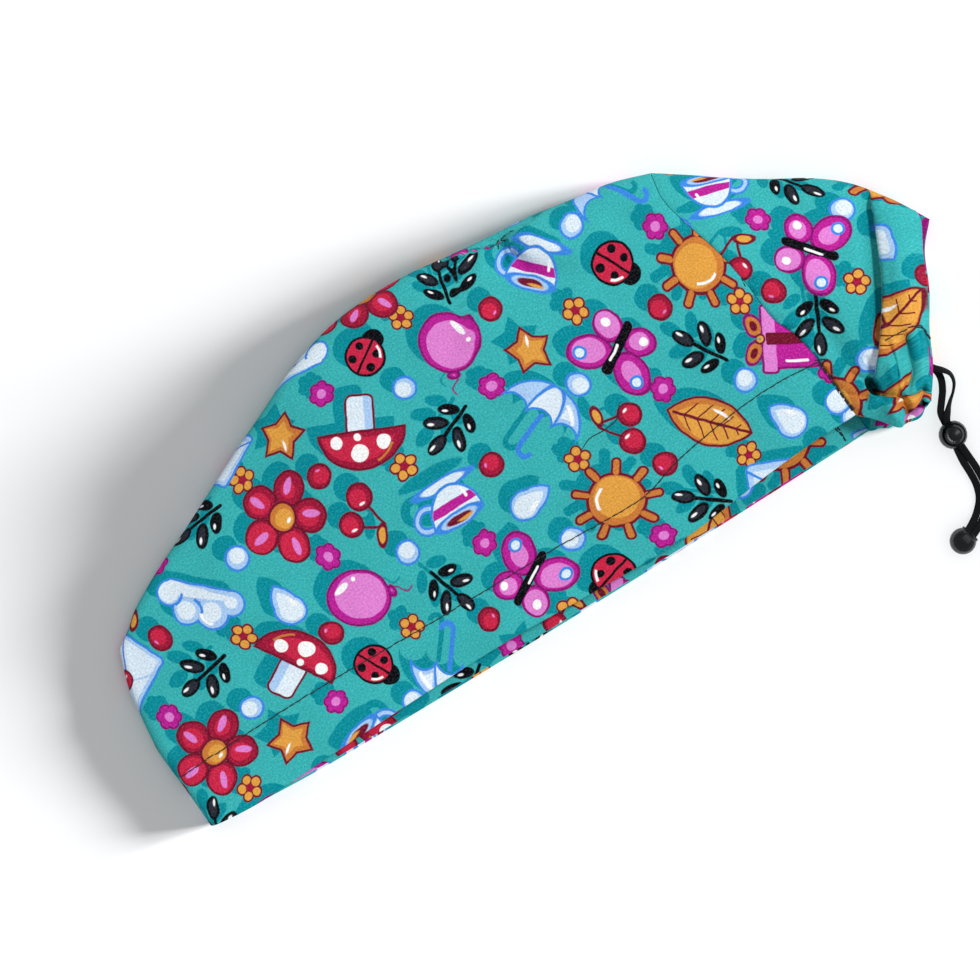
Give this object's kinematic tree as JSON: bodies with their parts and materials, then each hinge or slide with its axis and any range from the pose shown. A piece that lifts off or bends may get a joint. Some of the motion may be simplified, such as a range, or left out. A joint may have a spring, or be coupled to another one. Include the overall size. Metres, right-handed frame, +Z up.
{
  "type": "scrub cap with a drawcord",
  "caption": "Printed cotton scrub cap lying on its side, hemmed at the front, gathered at the nape on a black drawcord with a ball lock and an end ball.",
  "frame": {"origin": "on the floor under the middle of the cloth's box, without the drawcord and what is on it", "axes": "+X along the band from the forehead fold to the nape, +Y from the band's open edge to the crown, +Z up from the far side on the floor to the near side"},
  "size_m": [0.3372, 0.1936, 0.0273],
  "materials": {
    "printed_cotton": "plain woven cotton, printed in bright colours on teal, matt",
    "black_elastic": "woven black elastic cord, matt",
    "black_plastic": "moulded black plastic, glossy"
  },
  "bodies": {
    "cap": {"front_panel": "printed_cotton", "back_panel": "printed_cotton", "drawcord_straight": "black_elastic", "drawcord_bow": "black_elastic", "cord_lock_shell": "black_plastic", "cord_end_ball": "black_plastic"},
    "plunger": {"cord_lock_plunger": "black_plastic"}
  },
  "joints": [
    {"name": "plunger_slide", "type": "slide", "parent": "cap", "child": "plunger", "axis": [0, 0, -1], "range_m": [0, 0.0012], "stiffness_N_per_m": 200, "springref_m": -0.001}
  ]
}
